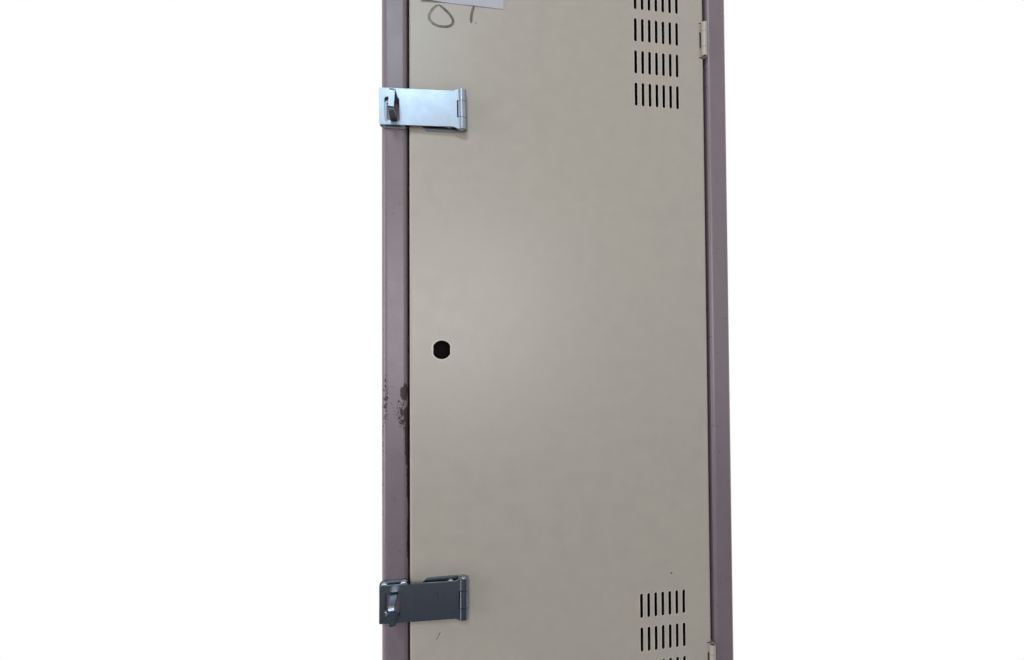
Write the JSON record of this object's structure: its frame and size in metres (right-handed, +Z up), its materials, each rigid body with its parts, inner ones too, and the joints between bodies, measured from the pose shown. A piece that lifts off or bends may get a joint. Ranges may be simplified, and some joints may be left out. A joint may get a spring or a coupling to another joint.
{
  "type": "coin operated locker",
  "caption": "Tall two-tier sheet-steel locker column with louvre-slot doors, padlock hasps and coin return locks inside the doors.",
  "frame": {"origin": "on the floor, at the middle of the overall outline, hasp staples and rear rivet heads included", "axes": "+X to the right seen from the front, +Y to the back, +Z up; the doors face -Y"},
  "size_m": [0.3822, 0.4918, 1.83],
  "materials": {
    "frame_paint": "satin enamel, dusty mauve, chipped to brown primer",
    "door_paint": "satin enamel, warm beige",
    "zinc_plate": "bright zinc plate",
    "rivet_zinc": "plain",
    "pin_steel": "plain",
    "lock_case": "black enamel",
    "lock_steel": "zinc plate",
    "hook_steel": "zinc plate",
    "rubber": "matt"
  },
  "bodies": {
    "root": {"back_panel": "frame_paint", "back_panel_rivets": "rivet_zinc", "bottom_rail": "frame_paint", "divider_shelf": "frame_paint", "floor_panel": "frame_paint", "left_side_panel": "frame_paint", "left_upright": "frame_paint", "lower_bottom_hinge_frame_leaf": "door_paint", "lower_bottom_staple": "zinc_plate", "lower_coat_hooks": "hook_steel", "lower_strike_plate": "lock_steel", "lower_top_hinge_frame_leaf": "door_paint", "lower_top_staple": "zinc_plate", "middle_rail": "frame_paint", "right_side_panel": "frame_paint", "right_upright": "frame_paint", "staple_rivets": "rivet_zinc", "stop_buffers": "rubber", "top_panel": "frame_paint", "top_rail": "frame_paint", "upper_bottom_hinge_frame_leaf": "door_paint", "upper_bottom_staple": "zinc_plate", "upper_coat_hooks": "hook_steel", "upper_strike_plate": "lock_steel", "upper_top_hinge_frame_leaf": "door_paint", "upper_top_staple": "zinc_plate", "upright_caps": "frame_paint"},
    "upper_door": {"upper_bottom_hasp_base": "zinc_plate", "upper_bottom_hinge_door_leaf": "door_paint", "upper_coin_lock_case": "lock_case", "upper_coin_lock_cover": "lock_case", "upper_coin_lock_studs": "lock_steel", "upper_coin_return_cup": "lock_case", "upper_door_panel": "door_paint", "upper_door_stiffener": "door_paint", "upper_hasp_base_rivets": "rivet_zinc", "upper_hasp_pins": "rivet_zinc", "upper_hinge_pins": "pin_steel", "upper_top_hasp_base": "zinc_plate", "upper_top_hinge_door_leaf": "door_paint"},
    "lower_door": {"lower_bottom_hasp_base": "zinc_plate", "lower_bottom_hinge_door_leaf": "door_paint", "lower_coin_lock_case": "lock_case", "lower_coin_lock_cover": "lock_case", "lower_coin_lock_studs": "lock_steel", "lower_coin_return_cup": "lock_case", "lower_door_panel": "door_paint", "lower_door_stiffener": "door_paint", "lower_hasp_base_rivets": "rivet_zinc", "lower_hasp_pins": "rivet_zinc", "lower_hinge_pins": "pin_steel", "lower_top_hasp_base": "zinc_plate", "lower_top_hinge_door_leaf": "door_paint"},
    "lower_top_strap": {"lower_top_hasp_strap": "zinc_plate"},
    "lower_bottom_strap": {"lower_bottom_hasp_strap": "zinc_plate"},
    "lower_bolt": {"lower_lock_bolt": "lock_steel"},
    "upper_top_strap": {"upper_top_hasp_strap": "zinc_plate"},
    "upper_bottom_strap": {"upper_bottom_hasp_strap": "zinc_plate"},
    "upper_bolt": {"upper_lock_bolt": "lock_steel"}
  },
  "joints": [
    {"name": "upper_door_hinge", "type": "hinge", "parent": "root", "child": "upper_door", "pos_m": [0.1614, -0.2186, 1.3775], "axis": [0, 0, 1], "range_deg": [0, 145]},
    {"name": "upper_top_hasp", "type": "hinge", "parent": "upper_door", "child": "upper_top_strap", "pos_m": [-0.10971, -0.22155, 1.61917], "axis": [-0.0175, 0, 0.9998], "range_deg": [0, 180]},
    {"name": "upper_bottom_hasp", "type": "hinge", "parent": "upper_door", "child": "upper_bottom_strap", "pos_m": [-0.1097, -0.22155, 1.13183], "axis": [0.007, 0, 1], "range_deg": [0, 180]},
    {"name": "upper_bolt_slide", "type": "slide", "parent": "upper_door", "child": "upper_bolt", "axis": [-1, 0, 0], "range_m": [0, 0.01]},
    {"name": "lower_door_hinge", "type": "hinge", "parent": "root", "child": "lower_door", "pos_m": [0.1614, -0.2186, 0.5005], "axis": [0, 0, 1], "range_deg": [0, 145]},
    {"name": "lower_top_hasp", "type": "hinge", "parent": "lower_door", "child": "lower_top_strap", "pos_m": [-0.10971, -0.22155, 0.74217], "axis": [-0.0175, 0, 0.9998], "range_deg": [0, 180]},
    {"name": "lower_bottom_hasp", "type": "hinge", "parent": "lower_door", "child": "lower_bottom_strap", "pos_m": [-0.1097, -0.22155, 0.25483], "axis": [0.007, 0, 1], "range_deg": [0, 180]},
    {"name": "lower_bolt_slide", "type": "slide", "parent": "lower_door", "child": "lower_bolt", "axis": [-1, 0, 0], "range_m": [0, 0.01]}
  ]
}
